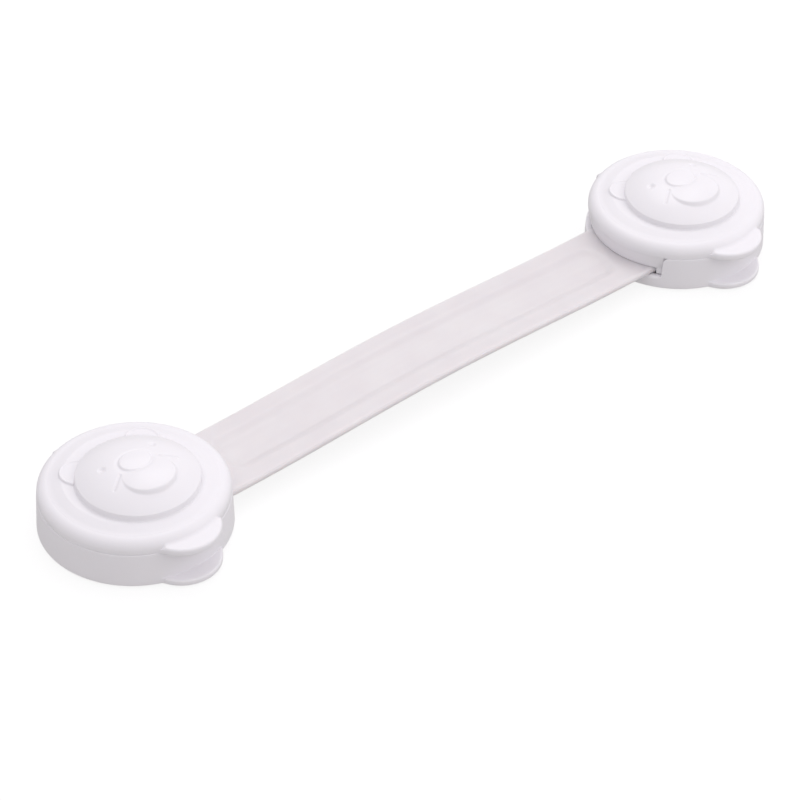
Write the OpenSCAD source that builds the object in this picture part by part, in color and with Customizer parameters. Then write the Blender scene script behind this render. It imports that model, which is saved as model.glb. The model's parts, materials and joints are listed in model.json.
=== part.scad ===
// Cabinet safety lock: two round adhesive heads with hinged lids, joined by one flexible strap.
// Millimetres. +X runs from the left head to the right head, and +Z away from the furniture.
// The origin is the centre of the left head's adhesive face.
// Heights inside a head are measured from the underside of its base.

/* [Heads] */
// Distance between the centres of the two heads
head_pitch = 158.8; // [130:0.2:220]
// How far a crescent tab reaches from the head's centre
tab_reach = 24.5; // [23.5:0.1:28]
// Radius of a crescent tab's outline
tab_r = 8.5; // [7:0.1:10]

/* [Base] */
// Outer radius of a base at its foot
base_r = 20.9; // [19.5:0.1:23]
// How much narrower the base's wall is at the seam than at its foot
base_draft = 0.3; // [0:0.05:0.5]
// Height of a base, from its underside to the seam
base_h = 8.3; // [7.8:0.1:11]
// Thickness of the base's round wall
base_wall = 1.8; // [1.5:0.1:2.2]
// Thickness of the base's floor
base_floor = 1.6; // [1.2:0.1:2]
// Radius of the base's lower edge
base_edge = 0.5; // [0.3:0.1:0.8]
// Thickness of the base's tab
base_tab_t = 1.5; // [1.2:0.1:2]
// Height of the sill that the strap lies on
sill_h = 3.1; // [2.6:0.1:3.4]
// How much wider than the strap the opening in the wall is, on each side
mouth_side = 5.3; // [4.5:0.1:6]
// How far the opening is turned towards the hinge
mouth_turn = 11.4; // [9:0.2:13]
// Radius of the post that holds the strap's end
post_r = 3.4; // [2.6:0.1:4.2]
// How far the post stands above the strap
post_stand = 1.2; // [0.8:0.1:2]
// Width of the collar round the foot of the post
collar_w = 2; // [1.2:0.1:2.6]
// Width of the ring that carries the strap's end
seat_w = 1.6; // [1.2:0.1:2.4]

/* [Lid] */
// How far the lid's side stands back from the base's side at the seam
lid_ledge = 0.1; // [0:0.05:0.3]
// Height of the lid at its shoulder
lid_h = 3.05; // [2.8:0.05:4]
// Radius of the lid's round shoulder
shoulder_r = 2.4; // [1.8:0.1:2.6]
// Thickness of the lid's side wall
lid_wall = 1.6; // [1.2:0.1:2]
// Thickness of the lid's top at the shoulder
lid_top_t = 1.8; // [1.6:0.1:2.1]
// Rise of the lid's top from the shoulder to the flat round the face
ring_rise = 0.9; // [0.2:0.1:1.2]
// Least width of the flat round the face
ring_flat = 0.3; // [0.2:0.1:0.8]
// Thickness of the lid's tab
lid_tab_t = 1.8; // [1.4:0.1:2]
// How far the lid's tab reaches below the seam
lid_tab_drop = 0.25; // [0.05:0.05:0.4]
// Thickness of the lip inside the base's wall
lip_t = 1.2; // [0.9:0.1:1.5]
// How far the lip reaches below the seam
lip_depth = 1.6; // [1.2:0.1:2]
// Half of the angle that the lip spans
lip_half_angle = 42; // [20:1:46]
// Height of the snap bead on the lip
bead = 0.15; // [0.1:0.05:0.3]
// Wall thickness of the ring that keeps the strap down
clamp_w = 1.6; // [1.2:0.1:2.2]
// How far the foot of the flap over the strap stands back from the lid's side
flap_inset = 0.7; // [0.4:0.1:1]
// Thickness of the flap at its foot
flap_t = 1.6; // [1.2:0.1:1.8]
// Gap between the flap and each side of the opening in the wall
flap_side = 1.3; // [0.8:0.1:2]

/* [Bear face] */
// Radius of the face
face_r = 13.4; // [11.5:0.1:14]
// How far the face lies from the head's middle, towards the tabs
face_shift = 1.45; // [0.5:0.05:2]
// Height of the face's middle above the lid's top
face_h = 4.7; // [3.5:0.1:5.5]
// Depth of the seat that the face is set into
face_seat = 0.8; // [0.5:0.1:1]
// Radius of an ear
ear_r = 4; // [3:0.1:4.2]
// Height of an ear above the lid's top
ear_stand = 0.45; // [0.3:0.05:0.8]
// Radius of the muzzle
muzzle_r = 6; // [5:0.1:6.8]
// Height of the muzzle's middle above the face's middle
muzzle_stand = 0.3; // [0.2:0.05:0.6]
// Radius of the nose
nose_r = 3.2; // [2.4:0.1:3.8]
// Height of the nose above the muzzle
nose_stand = 0.4; // [0.3:0.1:0.8]
// Radius of an eye's dimple
eye_r = 1.6; // [1.2:0.1:2]
// Depth of an eye's dimple
eye_depth = 0.5; // [0.3:0.1:0.8]

/* [Hinge] */
// Radius of the hinge pin
pin_r = 0.8; // [0.6:0.05:0.9]
// Wall of a hinge knuckle round the pin
knuckle_wall = 0.8; // [0.6:0.05:0.9]
// How far the hinge line lies inside the base's side
hinge_inset = 1.9; // [1.7:0.1:2.2]
// Width of the lid's knuckle
lid_knuckle_w = 5.2; // [4:0.1:6]

/* [Strap] */
// Width of the strap
strap_w = 20.6; // [16:0.2:21]
// Thickness of the strap
strap_t = 1.6; // [1.2:0.1:1.8]
// Height of the strap's bow above its ends
strap_bow = 1.5; // [0.5:0.1:4]
// Radius where the strap broadens into its round ends
strap_fillet = 4; // [3:0.1:5]
// Width of the groove along the strap
groove_w = 10; // [6:0.2:12]
// Depth of the groove
groove_depth = 0.5; // [0.3:0.05:0.7]
// Corner radius of the groove
groove_r = 3.5; // [1.5:0.1:3.5]
// Distance from a head's side to the end of the groove
groove_end = 2.5; // [1.5:0.1:6]

/* [Adhesive pad] */
// Radius of an adhesive pad
pad_r = 17.5; // [12:0.1:18]
// Thickness of an adhesive pad
pad_t = 1; // [0.8:0.1:1.5]
// How deep a pad is set into its base
pad_seat = 0.5; // [0.3:0.1:0.6]

/* [Hidden] */
$fn = 96;

// Clearances and overruns
seam_gap = 0.15;
seat_gap = 0.1;
side_gap = 0.3;
snap_gap = 0.1;
paddle_gap = 0.5;
face_gap = 0.05;
press_gap = 0.02;
running_gap = 0.05;
overrun = 1;
fuse = 0.2;
arc_steps = 8;
face_steps = 16;
bow_steps = 32;

// Base
base_in_r = base_r - base_wall;
strap_z = sill_h + seat_gap;
strap_top = strap_z + strap_t;
mouth_half = strap_w / 2 + mouth_side;
paddle_r = base_in_r - paddle_gap;
seat_r = paddle_r - seat_w;
post_top = strap_top + post_stand;
tab_edge_share = 0.4;
tab_y = tab_r - tab_reach;

// Lid
lid_r = base_r - base_draft - lid_ledge;
lid_z = base_h + seam_gap;
shoulder_z = lid_z + lid_h;
crown_z = shoulder_z + ring_rise;
lid_under = shoulder_z - lid_top_t;
bead_h = 2 * bead;
rib = 2 * bead;
rib_h = 2 * rib;
lip_r = base_in_r - rib - snap_gap - bead;
lip_z = base_h - lip_depth;
rib_z = lip_z + bead_h + snap_gap;
rib_half_share = 0.5;
clamp_in_r = post_r + paddle_gap + side_gap;
flap_r = lid_r - flap_inset;
flap_half = mouth_half - flap_side;
flat_r = face_r + face_gap + face_shift + ring_flat;

// Hinge
knuckle_r = pin_r + knuckle_wall;
hinge_y = base_r - hinge_inset;
hinge_z = base_h + seam_gap / 2;
hinge_sweep_r = knuckle_r + side_gap;
brow_z = hinge_z + hinge_sweep_r;
recess_half = sqrt(pow(lid_r, 2) - pow(hinge_y, 2)) + side_gap;
hinge_half = recess_half - knuckle_r;
lid_knuckle_half = lid_knuckle_w / 2;
base_knuckle_in = lid_knuckle_half + side_gap;
rear_flat_y = hinge_y + pin_r + side_gap;

// Bear face
face_z = crown_z - face_seat;
face_power = 2.5;
muzzle_top = crown_z + face_h + muzzle_stand;
nose_top = muzzle_top + nose_stand;
ear_at_shares = [0.634, 0.724];
muzzle_at_share = -0.31;
muzzle_curve_share = 6.6;
nose_at_share = 0.06;
nose_curve_share = 4;
eye_at_shares = [0.493, 0.265];
ear_edge_share = 0.6;

// Strap
bow_from = base_r;
bow_to = head_pitch - base_r;
groove_from = base_r + groove_end;
groove_to = head_pitch - groove_from;

// Adhesive pad
pad_stand = pad_t - pad_seat;

shell_white = [0.93, 0.92, 0.94];
face_white = [0.96, 0.95, 0.97];
strap_milk = [0.88, 0.87, 0.89, 0.85];
pin_steel = [0.68, 0.69, 0.71];
pad_white = [0.9, 0.9, 0.88];

// Points of an arc about (x, y), from one angle to another
function arc(x, y, r, from, to) =
    [for (i = [0 : arc_steps])
        let (a = from + (to - from) * i / arc_steps) [x + r * cos(a), y + r * sin(a)]];

// Height of the face, a flattened dome with full sides, at a distance from its middle
function face_at(d) = crown_z + face_h * pow(1 - pow(d / face_r, face_power), 1 / face_power);

// Height of the strap's underside along its length
function bow_at(x) =
    let (run = min(max((x - bow_from) / (bow_to - bow_from), 0), 1))
    strap_z + strap_bow * (1 - cos(360 * run)) / 2;

// Puts a head's pieces in place: the right head is the left one mirrored
module at_head(right) {
    translate([right ? head_pitch : 0, 0, pad_stand])
        mirror([right ? 1 : 0, 0, 0])
            children();
}

// A ring about the head's axis
module ring(outer, inner, from, to) {
    translate([0, 0, from])
        difference() {
            cylinder(r = outer, h = to - from);
            translate([0, 0, -overrun])
                cylinder(r = inner, h = to - from + 2 * overrun);
        }
}

// A bar along X, centred on the hinge line
module hinge_bar(r, from, to) {
    translate([from, hinge_y, hinge_z])
        rotate([0, 90, 0])
            cylinder(r = r, h = to - from);
}

// A crescent tab that leaves the inside of the head free
module tab(z, t, free_r) {
    edge = t * tab_edge_share;
    difference() {
        translate([0, tab_y, z])
            rotate_extrude()
                polygon(concat(
                    [[0, 0]],
                    arc(tab_r - edge, edge, edge, -90, 0),
                    arc(tab_r - edge, t - edge, edge, 0, 90),
                    [[0, t]]));
        translate([0, 0, z - overrun])
            cylinder(r = free_r, h = t + 2 * overrun);
    }
}

// Base
module base_cup() {
    rotate_extrude()
        polygon(concat(
            [[0, 0]],
            arc(base_r - base_edge, base_edge, base_edge, -90, 0),
            [[base_r - base_draft, base_h], [base_in_r, base_h], [base_in_r, base_floor], [0, base_floor]]));
}

module strap_mouth() {
    rotate([0, 0, mouth_turn])
        translate([0, -mouth_half, sill_h])
            cube([base_r + overrun, 2 * mouth_half, base_h]);
}

module rear_flat() {
    translate([-base_r, rear_flat_y, sill_h])
        cube([2 * base_r, base_r, base_h]);
}

module strap_seat() {
    ring(seat_r, seat_r - seat_w, base_floor - fuse, sill_h);
    translate([0, 0, base_floor - fuse])
        cylinder(r = post_r + collar_w, h = sill_h - base_floor + fuse);
    translate([0, 0, base_floor - fuse])
        cylinder(r = post_r, h = post_top - base_floor + fuse);
}

module base_knuckles() {
    block_z = strap_top + side_gap;
    for (side = [0, 1])
        mirror([side, 0, 0]) {
            hinge_bar(knuckle_r, base_knuckle_in, hinge_half);
            translate([base_knuckle_in, hinge_y - knuckle_r, block_z])
                cube([hinge_half - base_knuckle_in, rear_flat_y - hinge_y + knuckle_r, hinge_z - block_z]);
        }
}

module snap_rib() {
    half = lip_half_angle * rib_half_share;
    rotate([0, 0, -90 - half])
        rotate_extrude(angle = 2 * half)
            polygon([
                [base_in_r + fuse, rib_z],
                [base_in_r, rib_z],
                [base_in_r - rib, rib_z + rib_h / 2],
                [base_in_r, rib_z + rib_h],
                [base_in_r + fuse, rib_z + rib_h]]);
}

module base() {
    difference() {
        union() {
            difference() {
                base_cup();
                strap_mouth();
                rear_flat();
            }
            strap_seat();
            base_knuckles();
            snap_rib();
            tab(0, base_tab_t, base_in_r + fuse);
        }
        translate([0, 0, -overrun])
            cylinder(r = pad_r + seat_gap, h = pad_seat + overrun);
        hinge_bar(hinge_sweep_r, -base_knuckle_in, base_knuckle_in);
        hinge_bar(pin_r + press_gap, -hinge_half - overrun, hinge_half + overrun);
    }
}

// Lid
module lid_cap() {
    rotate_extrude()
        polygon(concat(
            [[lid_r - lid_wall, lid_z]],
            [[lid_r, lid_z]],
            arc(lid_r - shoulder_r, shoulder_z - shoulder_r, shoulder_r, 0, 90),
            [[flat_r, crown_z], [0, crown_z], [0, lid_under], [lid_r - lid_wall, lid_under]]));
}

// The seat in the lid's top that holds the face
module face_socket() {
    translate([0, -face_shift, face_z])
        cylinder(r = face_r + face_gap, h = face_seat + ear_stand + overrun);
}

module ears() {
    edge = ear_stand * ear_edge_share;
    ear_foot = crown_z - ring_rise - fuse;
    ear_top = crown_z + ear_stand - ear_foot;
    for (side = [0, 1])
        mirror([side, 0, 0])
            translate([ear_at_shares[0] * face_r, ear_at_shares[1] * face_r - face_shift, ear_foot])
                rotate_extrude()
                    polygon(concat(
                        [[0, 0], [ear_r, 0]],
                        arc(ear_r - edge, ear_top - edge, edge, 0, 90),
                        [[0, ear_top]]));
}

module lip() {
    rotate([0, 0, -90 - lip_half_angle])
        rotate_extrude(angle = 2 * lip_half_angle)
            polygon([
                [lip_r - lip_t, lip_z],
                [lip_r, lip_z],
                [lip_r + bead, lip_z + bead_h / 2],
                [lip_r, lip_z + bead_h],
                [lip_r, lid_under + fuse],
                [lip_r - lip_t, lid_under + fuse]]);
}

// The flap that closes the mouth above the strap, which goes on from the lid's side
module flap() {
    intersection() {
        rotate_extrude()
            polygon([
                [flap_r - flap_t, strap_top + seat_gap],
                [flap_r, strap_top + seat_gap],
                [lid_r, lid_z],
                [lid_r - lid_wall / 2, lid_z + fuse],
                [flap_r - flap_t, lid_under + fuse]]);
        rotate([0, 0, mouth_turn])
            translate([0, -flap_half, 0])
                cube([lid_r, 2 * flap_half, shoulder_z]);
    }
}

// The lid's tab, whose lower part stays clear of the base's wall
module lid_tab() {
    tab_foot = base_h - lid_tab_drop;
    difference() {
        tab(tab_foot, lid_tab_t, lid_r - lid_wall);
        translate([0, 0, tab_foot - overrun])
            cylinder(r = base_r + side_gap, h = lid_z - tab_foot + overrun);
    }
}

module lid_knuckle() {
    hinge_bar(knuckle_r, -lid_knuckle_half, lid_knuckle_half);
    translate([-lid_knuckle_half, hinge_y - knuckle_r, hinge_z])
        cube([lid_knuckle_w, knuckle_r, brow_z - hinge_z + fuse]);
}

module lid() {
    difference() {
        union() {
            difference() {
                union() {
                    lid_cap();
                    lid_tab();
                }
                translate([-recess_half, hinge_y - hinge_sweep_r, lid_z - overrun])
                    cube([2 * recess_half, base_r, brow_z - lid_z + overrun]);
            }
            ears();
            lip();
            flap();
            ring(clamp_in_r + clamp_w, clamp_in_r, strap_top + seat_gap, lid_under + fuse);
            lid_knuckle();
        }
        face_socket();
        hinge_bar(pin_r + running_gap, -lid_knuckle_half - overrun, lid_knuckle_half + overrun);
    }
}

// Bear face
// A low dome of a given radius whose middle is at a given height, down to the foot of the face
module boss(y, r, top, curve_r) {
    translate([0, y, 0])
        intersection() {
            translate([0, 0, face_z + face_seat / 2])
                cylinder(r = r, h = top);
            translate([0, 0, top - curve_r])
                sphere(r = curve_r);
        }
}

module bear_face() {
    translate([0, -face_shift, 0])
        difference() {
            union() {
                rotate_extrude()
                    polygon(concat(
                        [[0, face_z], [face_r, face_z]],
                        [for (i = [0 : face_steps])
                            let (d = face_r * pow(cos(90 * i / face_steps), 2 / face_power))
                            [d, face_at(d)]]));
                boss(muzzle_at_share * face_r, muzzle_r, muzzle_top, muzzle_r * muzzle_curve_share);
                boss(nose_at_share * face_r, nose_r, nose_top, nose_r * nose_curve_share);
            }
            for (side = [0, 1])
                mirror([side, 0, 0])
                    translate([
                        eye_at_shares[0] * face_r,
                        eye_at_shares[1] * face_r,
                        face_at(norm(eye_at_shares) * face_r) + eye_r - eye_depth])
                        sphere(r = eye_r);
        }
}

// Hinge pin, a little shorter than the hinge
module hinge_pin() {
    hinge_bar(pin_r, seat_gap - hinge_half, hinge_half - seat_gap);
}

// Adhesive pad
module adhesive_pad() {
    translate([0, 0, -pad_stand])
        cylinder(r = pad_r, h = pad_t);
}

// Strap
// The strap's outline from above: a strip that broadens into a round end over each post
module strap_plan() {
    half = strap_w / 2;
    fillet_x = sqrt(pow(paddle_r + strap_fillet, 2) - pow(half + strap_fillet, 2));
    translate([0, -half])
        square([head_pitch, strap_w]);
    for (right = [0, 1])
        translate([right * head_pitch, 0])
            mirror([right, 0]) {
                circle(r = paddle_r);
                for (side = [0, 1])
                    mirror([0, side])
                        difference() {
                            polygon([[0, 0], [fillet_x, 0], [fillet_x, half + strap_fillet]]);
                            translate([fillet_x, half + strap_fillet])
                                circle(r = strap_fillet);
                        }
            }
}

// The strap seen from the side, from one height above its underside to another, as a slab across its width
module bowed_slab(from, to, width) {
    xs = concat([-base_r], [for (i = [0 : bow_steps]) bow_from + (bow_to - bow_from) * i / bow_steps],
                [head_pitch + base_r]);
    last = len(xs) - 1;
    translate([0, width / 2, 0])
        rotate([90, 0, 0])
            linear_extrude(height = width)
                polygon(concat(
                    [for (i = [0 : last]) [xs[i], bow_at(xs[i]) + from]],
                    [for (i = [0 : last]) [xs[last - i], bow_at(xs[last - i]) + to]]));
}

module groove_plan() {
    for (x = [groove_from + groove_r, groove_to - groove_r])
        for (y = [groove_r - groove_w / 2, groove_w / 2 - groove_r])
            translate([x, y])
                circle(r = groove_r);
    translate([groove_from + groove_r, -groove_w / 2])
        square([groove_to - groove_from - 2 * groove_r, groove_w]);
    translate([groove_from, groove_r - groove_w / 2])
        square([groove_to - groove_from, groove_w - 2 * groove_r]);
}

module strap_solid() {
    cut_h = strap_top + strap_bow + overrun;
    difference() {
        intersection() {
            linear_extrude(height = cut_h)
                strap_plan();
            bowed_slab(0, strap_t, 2 * base_r);
        }
        intersection() {
            linear_extrude(height = cut_h)
                groove_plan();
            bowed_slab(strap_t - groove_depth, strap_t + overrun, groove_w + overrun);
        }
        for (x = [0, head_pitch])
            translate([x, 0, 0])
                cylinder(r = post_r + seat_gap, h = cut_h);
    }
}

// Named pieces
module strap() { color(strap_milk) translate([0, 0, pad_stand]) strap_solid(); }
module left_base() { color(shell_white) at_head(false) base(); }
module right_base() { color(shell_white) at_head(true) base(); }
module left_lid() { color(shell_white) at_head(false) lid(); }
module right_lid() { color(shell_white) at_head(true) lid(); }
module left_bear_face() { color(face_white) at_head(false) bear_face(); }
module right_bear_face() { color(face_white) at_head(true) bear_face(); }
module left_hinge_pin() { color(pin_steel) at_head(false) hinge_pin(); }
module right_hinge_pin() { color(pin_steel) at_head(true) hinge_pin(); }
module left_adhesive_pad() { color(pad_white) at_head(false) adhesive_pad(); }
module right_adhesive_pad() { color(pad_white) at_head(true) adhesive_pad(); }

strap();
left_base();
right_base();
left_lid();
right_lid();
left_bear_face();
right_bear_face();
left_hinge_pin();
right_hinge_pin();
left_adhesive_pad();
right_adhesive_pad();
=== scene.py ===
"""Looks of a cabinet safety lock: two round heads with hinged lids and bear faces, joined by a milky strap.

Sizes are in millimetres. Heights inside a head are measured from the underside of its base.
"""

import json
import logging
import math
from collections.abc import Sequence
from dataclasses import dataclass
from enum import Enum
from typing import Union

import bmesh
import bpy
import numpy as np
from mathutils import Matrix, Vector


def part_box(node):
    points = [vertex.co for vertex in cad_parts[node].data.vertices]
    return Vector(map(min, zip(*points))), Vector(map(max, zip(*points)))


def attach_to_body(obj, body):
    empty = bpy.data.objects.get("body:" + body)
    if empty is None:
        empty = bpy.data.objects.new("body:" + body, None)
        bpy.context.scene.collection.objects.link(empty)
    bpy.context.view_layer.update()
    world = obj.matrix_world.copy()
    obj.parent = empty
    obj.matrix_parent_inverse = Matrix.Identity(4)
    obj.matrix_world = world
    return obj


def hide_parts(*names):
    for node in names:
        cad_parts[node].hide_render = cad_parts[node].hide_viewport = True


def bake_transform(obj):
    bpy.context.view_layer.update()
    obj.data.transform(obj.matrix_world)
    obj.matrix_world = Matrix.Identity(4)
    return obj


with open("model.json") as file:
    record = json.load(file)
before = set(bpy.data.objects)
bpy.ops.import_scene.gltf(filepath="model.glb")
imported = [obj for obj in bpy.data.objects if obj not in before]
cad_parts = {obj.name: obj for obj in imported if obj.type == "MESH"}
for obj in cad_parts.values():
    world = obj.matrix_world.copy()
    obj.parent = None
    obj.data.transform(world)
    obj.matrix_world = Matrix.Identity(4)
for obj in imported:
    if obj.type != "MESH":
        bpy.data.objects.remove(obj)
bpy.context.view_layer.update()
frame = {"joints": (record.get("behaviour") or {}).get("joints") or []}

MM = 0.001
WHOLE_TURN = 360.0
LEAST_SINE = 0.5
WHITE = (0.83, 0.81, 0.845)
log = logging.getLogger("cabinet_lock")

Numbers = Union[float, np.ndarray]
Colour = tuple[float, float, float]


class Side(Enum):
    """The two heads of the lock, with the direction that each one's strap leaves in."""

    LEFT = 1.0
    RIGHT = -1.0

    @property
    def word(self) -> str:
        """The side's name as the pieces spell it."""
        return self.name.lower()


def smooth_step(low: float, high: float, x: Numbers) -> np.ndarray:
    """Rises smoothly from 0 to 1.

    Args:
        low: Where the rise starts.
        high: Where the rise ends.
        x: Where it is wanted.

    Returns:
        The share of the rise at x.
    """
    share = np.clip((np.asarray(x, float) - low) / (high - low), 0.0, 1.0)
    return share * share * (3.0 - 2.0 * share)


def smooth_max(first: Numbers, second: Numbers, fillet: float) -> np.ndarray:
    """The larger of two heights, with the corner between them rounded.

    Args:
        first: One height.
        second: The other height.
        fillet: Size of the rounding.

    Returns:
        The joined height.
    """
    near = np.maximum(fillet - np.abs(np.subtract(first, second)), 0.0) / fillet
    return np.maximum(first, second) + near * near * fillet / 4.0


def smooth_min(first: Numbers, second: Numbers, round_off: float) -> np.ndarray:
    """The smaller of two heights, with the corner between them rounded."""
    return -smooth_max(np.negative(first), np.negative(second), round_off)


def column_angles(step: float, fine_step: float, windows: Sequence[tuple[float, float]]) -> np.ndarray:
    """Angles of the columns of a ring, closer together where its outline turns sharply.

    Args:
        step: Usual angle between two columns, in degrees.
        fine_step: Angle between two columns in a window, in degrees.
        windows: Middle and half-width of each window, in degrees.

    Returns:
        The angles in radians, ascending, over one turn.
    """
    half_turn = WHOLE_TURN / 2.0
    angles = np.arange(-half_turn, half_turn, step)
    for middle, half in windows:
        offset = (angles - middle + half_turn) % WHOLE_TURN - half_turn
        angles = angles[np.abs(offset) > half]
        angles = np.append(angles, np.arange(middle - half, middle + half + fine_step / 2, fine_step))
    turned = (angles + half_turn) % WHOLE_TURN - half_turn
    return np.radians(np.unique(np.round(turned, 6)))


class Value:
    """A socket that varies over a surface. Arithmetic on numbers adds Math nodes to its canvas."""

    def __init__(self, canvas: "Canvas", socket: bpy.types.NodeSocket) -> None:
        """Keeps the canvas and the socket that the value comes from."""
        self.canvas = canvas
        self.socket = socket

    def _math(self, operation: str, first: "Input", second: "Input") -> "Value":
        """Adds one Math node and returns its result."""
        return self.canvas.add("ShaderNodeMath", {"operation": operation}, {0: first, 1: second})

    def __add__(self, other: "Input") -> "Value":
        """Sum."""
        return self._math("ADD", self, other)

    def __sub__(self, other: "Input") -> "Value":
        """Difference."""
        return self._math("SUBTRACT", self, other)

    def __rsub__(self, other: "Input") -> "Value":
        """Difference from a number."""
        return self._math("SUBTRACT", other, self)

    def __mul__(self, other: "Input") -> "Value":
        """Product."""
        return self._math("MULTIPLY", self, other)

    __radd__ = __add__
    __rmul__ = __mul__


Input = Union[Value, float, tuple]


class Canvas:
    """The node tree of one material or of the world."""

    def __init__(self, tree: bpy.types.NodeTree) -> None:
        """Starts from an empty tree."""
        self.tree = tree
        self.tree.nodes.clear()

    @classmethod
    def material(cls, name: str) -> tuple["Canvas", bpy.types.Material]:
        """Makes a new material.

        Args:
            name: The material's name.

        Returns:
            Its canvas and the material.
        """
        made = bpy.data.materials.new(name)
        made.use_nodes = True
        return cls(made.node_tree), made

    @staticmethod
    def _find(sockets: bpy.types.bpy_prop_collection, key: Union[int, str]) -> bpy.types.NodeSocket:
        """Finds a socket.

        Args:
            sockets: The node's inputs or outputs.
            key: The socket's place, identifier or name.

        Returns:
            The socket.
        """
        if isinstance(key, int):
            return sockets[key]
        return next(s for s in sockets if key in (s.identifier, s.name))

    def add(self, kind: str, settings: dict, inputs: dict, output: Union[int, str] = 0) -> Value:
        """Adds a node.

        Args:
            kind: The node's type.
            settings: Its settings, set before its sockets.
            inputs: The number, colour, vector or value for each of its sockets.
            output: The socket that the result comes from.

        Returns:
            The value at that socket.
        """
        node = self.tree.nodes.new(kind)
        for name, setting in settings.items():
            setattr(node, name, setting)
        for key, given in inputs.items():
            socket = self._find(node.inputs, key)
            if isinstance(given, Value):
                self.tree.links.new(given.socket, socket)
            else:
                socket.default_value = given
        return Value(self, self._find(node.outputs, output)) if len(node.outputs) else Value(self, None)

    def place(self, stretch: Colour = (1.0, 1.0, 1.0)) -> Value:
        """A surface point's place in metres, stretched along the axes."""
        point = self.add("ShaderNodeTexCoord", {}, {}, "Object")
        return self.add("ShaderNodeVectorMath", {"operation": "MULTIPLY"}, {0: point, 1: stretch})

    def noise(self, point: Value, size: float, detail: float = 2.0) -> Value:
        """Noise about zero.

        Args:
            point: Where it is read.
            size: Size of its features, in millimetres.
            detail: How many finer layers it has.

        Returns:
            A value from about -0.5 to 0.5.
        """
        inputs = {"Vector": point, "Scale": 1.0 / (size * MM), "Detail": detail}
        return self.add("ShaderNodeTexNoise", {}, inputs, "Fac") - 0.5

    def mix(self, share: Value, first: "Colour | Value", second: "Colour | Value") -> Value:
        """A colour between two others.

        Args:
            share: How far it lies from the first to the second.
            first: The colour at 0.
            second: The colour at 1.

        Returns:
            The mixed colour.
        """
        ends = [end if isinstance(end, Value) else (*end, 1.0) for end in (first, second)]
        inputs = {"Factor_Float": share, "A_Color": ends[0], "B_Color": ends[1]}
        return self.add("ShaderNodeMix", {"data_type": "RGBA"}, inputs, "Result_Color")

    def relief(self, height: Value) -> Value:
        """The normal of a surface with a fine relief, whose height is given in millimetres."""
        return self.add("ShaderNodeBump", {}, {"Strength": 1.0, "Distance": MM, "Height": height}, "Normal")

    def surface(self, kind: str, inputs: dict) -> None:
        """Ends the tree in a shader of that type."""
        shader = self.add(kind, {}, inputs)
        self.add("ShaderNodeOutputMaterial", {}, {"Surface": shader})


@dataclass(frozen=True)
class MouldedPlastic:
    """White moulded plastic: a faintly uneven tone, a fine eroded grain and a slow ripple from cooling."""

    name: str
    tone: Colour
    tone_drift: float
    roughness: float
    roughness_drift: float
    grain_depth: float
    ripple_depth: float
    gloss_coat: float
    grain_size: float = 0.28
    ripple_size: float = 6.0
    cloud_size: float = 11.0
    grain_tone: float = 0.3
    glow: float = 0.12
    glow_depth: float = 1.2
    glow_reach: Colour = (1.0, 0.92, 0.86)
    coat_roughness: float = 0.12
    bending: float = 1.49

    def make(self) -> bpy.types.Material:
        """Makes the material.

        Returns:
            The material.
        """
        canvas, made = Canvas.material(self.name)
        point = canvas.place()
        clouds = canvas.noise(point, self.cloud_size, 3.0)
        grain = canvas.noise(point, self.grain_size)
        ripple = canvas.noise(point, self.ripple_size, 1.0)
        low = tuple(part * (1.0 - self.tone_drift) for part in self.tone)
        high = tuple(min(part * (1.0 + self.tone_drift), 1.0) for part in self.tone)
        canvas.surface("ShaderNodeBsdfPrincipled", {
            "Base Color": canvas.mix(clouds + 0.5 + grain * self.grain_tone, low, high),
            "Roughness": self.roughness + (clouds + grain) * self.roughness_drift,
            "Normal": canvas.relief(grain * self.grain_depth + ripple * self.ripple_depth),
            "Coat Weight": self.gloss_coat,
            "Coat Roughness": self.coat_roughness,
            "Subsurface Weight": self.glow,
            "Subsurface Radius": self.glow_reach,
            "Subsurface Scale": self.glow_depth * MM,
            "IOR": self.bending,
        })
        return made


@dataclass(frozen=True)
class MilkyPlastic:
    """Milky strap plastic: light goes into it, and it has faint streaks along its length from moulding."""

    name: str = "milky_strap_plastic"
    clear_tone: Colour = (0.69, 0.655, 0.678)
    cloudy_tone: Colour = (0.733, 0.708, 0.722)
    roughness: float = 0.36
    roughness_drift: float = 0.12
    streak_size: float = 1.7
    streak_stretch: float = 0.06
    streak_depth: float = 0.012
    streak_tone: float = 0.8
    cloud_size: float = 8.0
    cloud_tone: float = 1.3
    grain_size: float = 0.22
    grain_depth: float = 0.004
    glow: float = 0.75
    glow_depth: float = 2.0
    glow_reach: Colour = (1.0, 0.9, 0.84)
    bending: float = 1.5

    def make(self) -> bpy.types.Material:
        """Makes the material.

        Returns:
            The material.
        """
        canvas, made = Canvas.material(self.name)
        point = canvas.place()
        streaks = canvas.noise(canvas.place((self.streak_stretch, 1.0, 1.0)), self.streak_size, 3.0)
        clouds = canvas.noise(point, self.cloud_size, 4.0)
        grain = canvas.noise(point, self.grain_size)
        cloudy = 0.5 + clouds * self.cloud_tone + streaks * self.streak_tone
        canvas.surface("ShaderNodeBsdfPrincipled", {
            "Base Color": canvas.mix(cloudy, self.clear_tone, self.cloudy_tone),
            "Roughness": self.roughness + (streaks + grain) * self.roughness_drift,
            "Normal": canvas.relief(streaks * self.streak_depth + grain * self.grain_depth),
            "Subsurface Weight": self.glow,
            "Subsurface Radius": self.glow_reach,
            "Subsurface Scale": self.glow_depth * MM,
            "IOR": self.bending,
        })
        return made


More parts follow.
